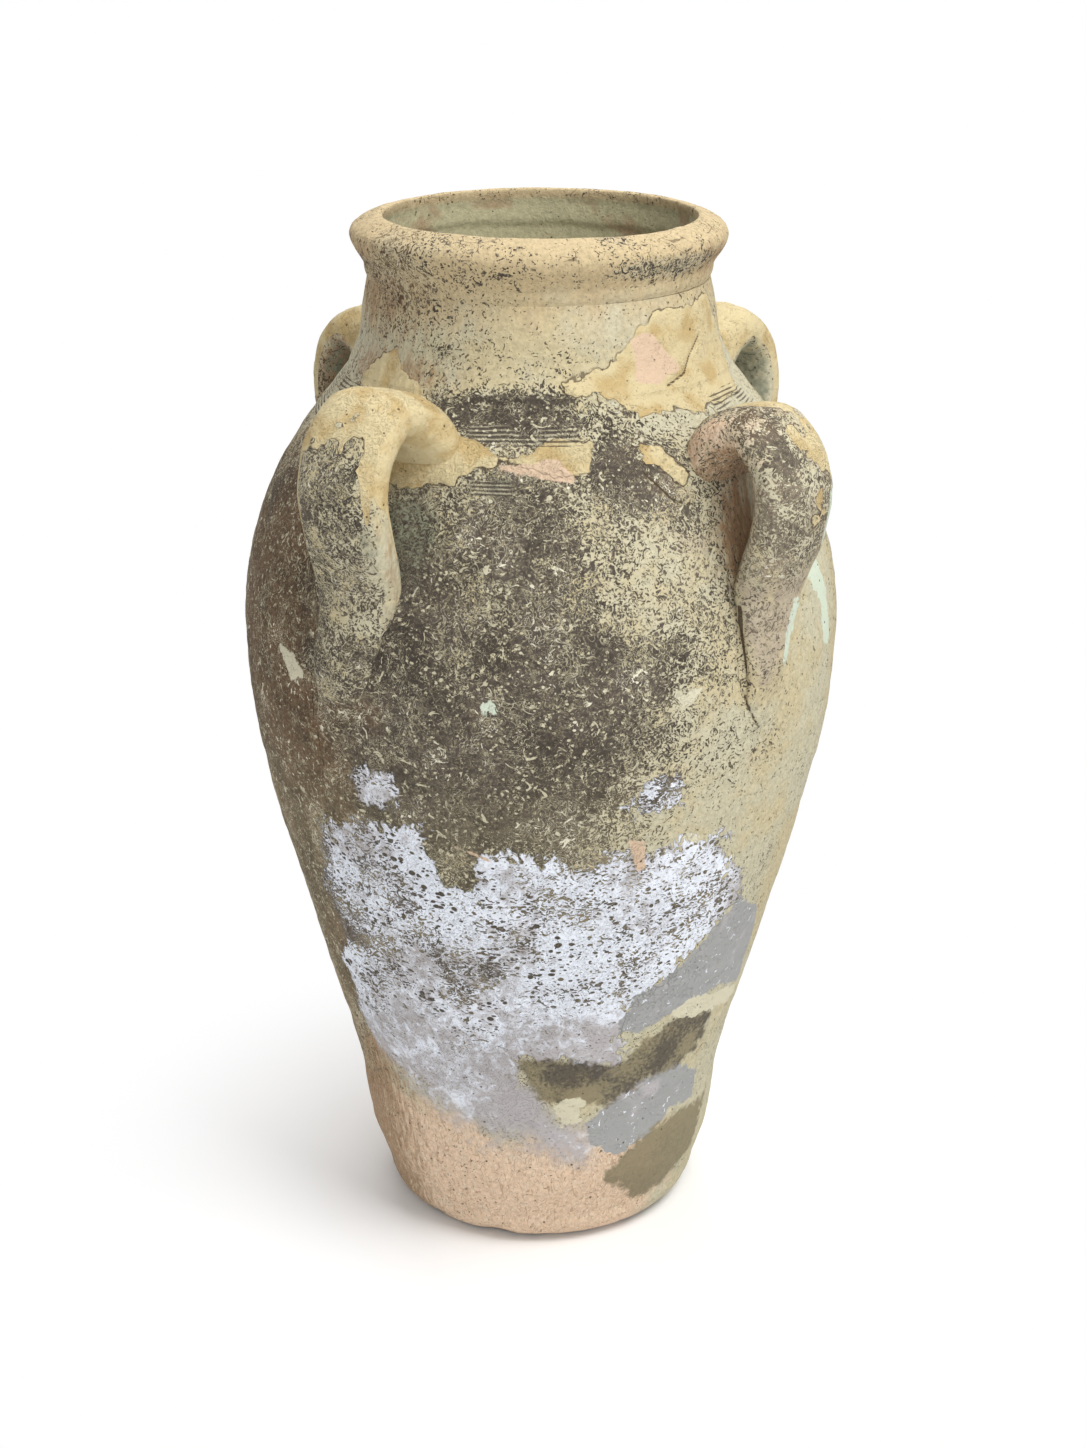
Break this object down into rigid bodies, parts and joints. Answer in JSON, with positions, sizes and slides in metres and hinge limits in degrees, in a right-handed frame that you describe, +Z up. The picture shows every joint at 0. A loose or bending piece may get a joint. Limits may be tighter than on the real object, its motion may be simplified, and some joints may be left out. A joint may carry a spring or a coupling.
{
  "type": "four-handled jar",
  "caption": "Tall wide-bellied fired-clay storage jar with a short neck, a rounded rim band and vertical strap handles round the shoulder.",
  "frame": {"origin": "centre of the flat foot, on the surface that the jar stands on", "axes": "+Z up along the jar's axis; +X through handle_right, +Y through handle_back"},
  "size_m": [0.3874, 0.3838, 0.594],
  "materials": {
    "base_disc_clay": "bare fired clay, salmon pink, chipped",
    "lower_wall_clay": "matt fired clay with lime deposit and trimming marks",
    "belly_wall_clay": "matt dark crust with pale flecks on buff clay",
    "shoulder_wall_clay": "matt dark crust over combed bands on buff clay",
    "neck_clay": "matt greenish cream clay with dark specks",
    "rim_band_clay": "matt buff clay, pitted lip",
    "handle_right_clay": "matt buff clay with dark crust and a cream crest",
    "handle_back_clay": "matt pale cream clay",
    "handle_left_clay": "matt golden tan clay",
    "handle_front_clay": "matt buff clay with dark crust and finger smears"
  },
  "bodies": {
    "root": {"base_disc": "base_disc_clay", "lower_wall": "lower_wall_clay", "belly_wall": "belly_wall_clay", "shoulder_wall": "shoulder_wall_clay", "neck": "neck_clay", "rim_band": "rim_band_clay", "handle_right": "handle_right_clay", "handle_back": "handle_back_clay", "handle_left": "handle_left_clay", "handle_front": "handle_front_clay"}
  },
  "joints": []
}
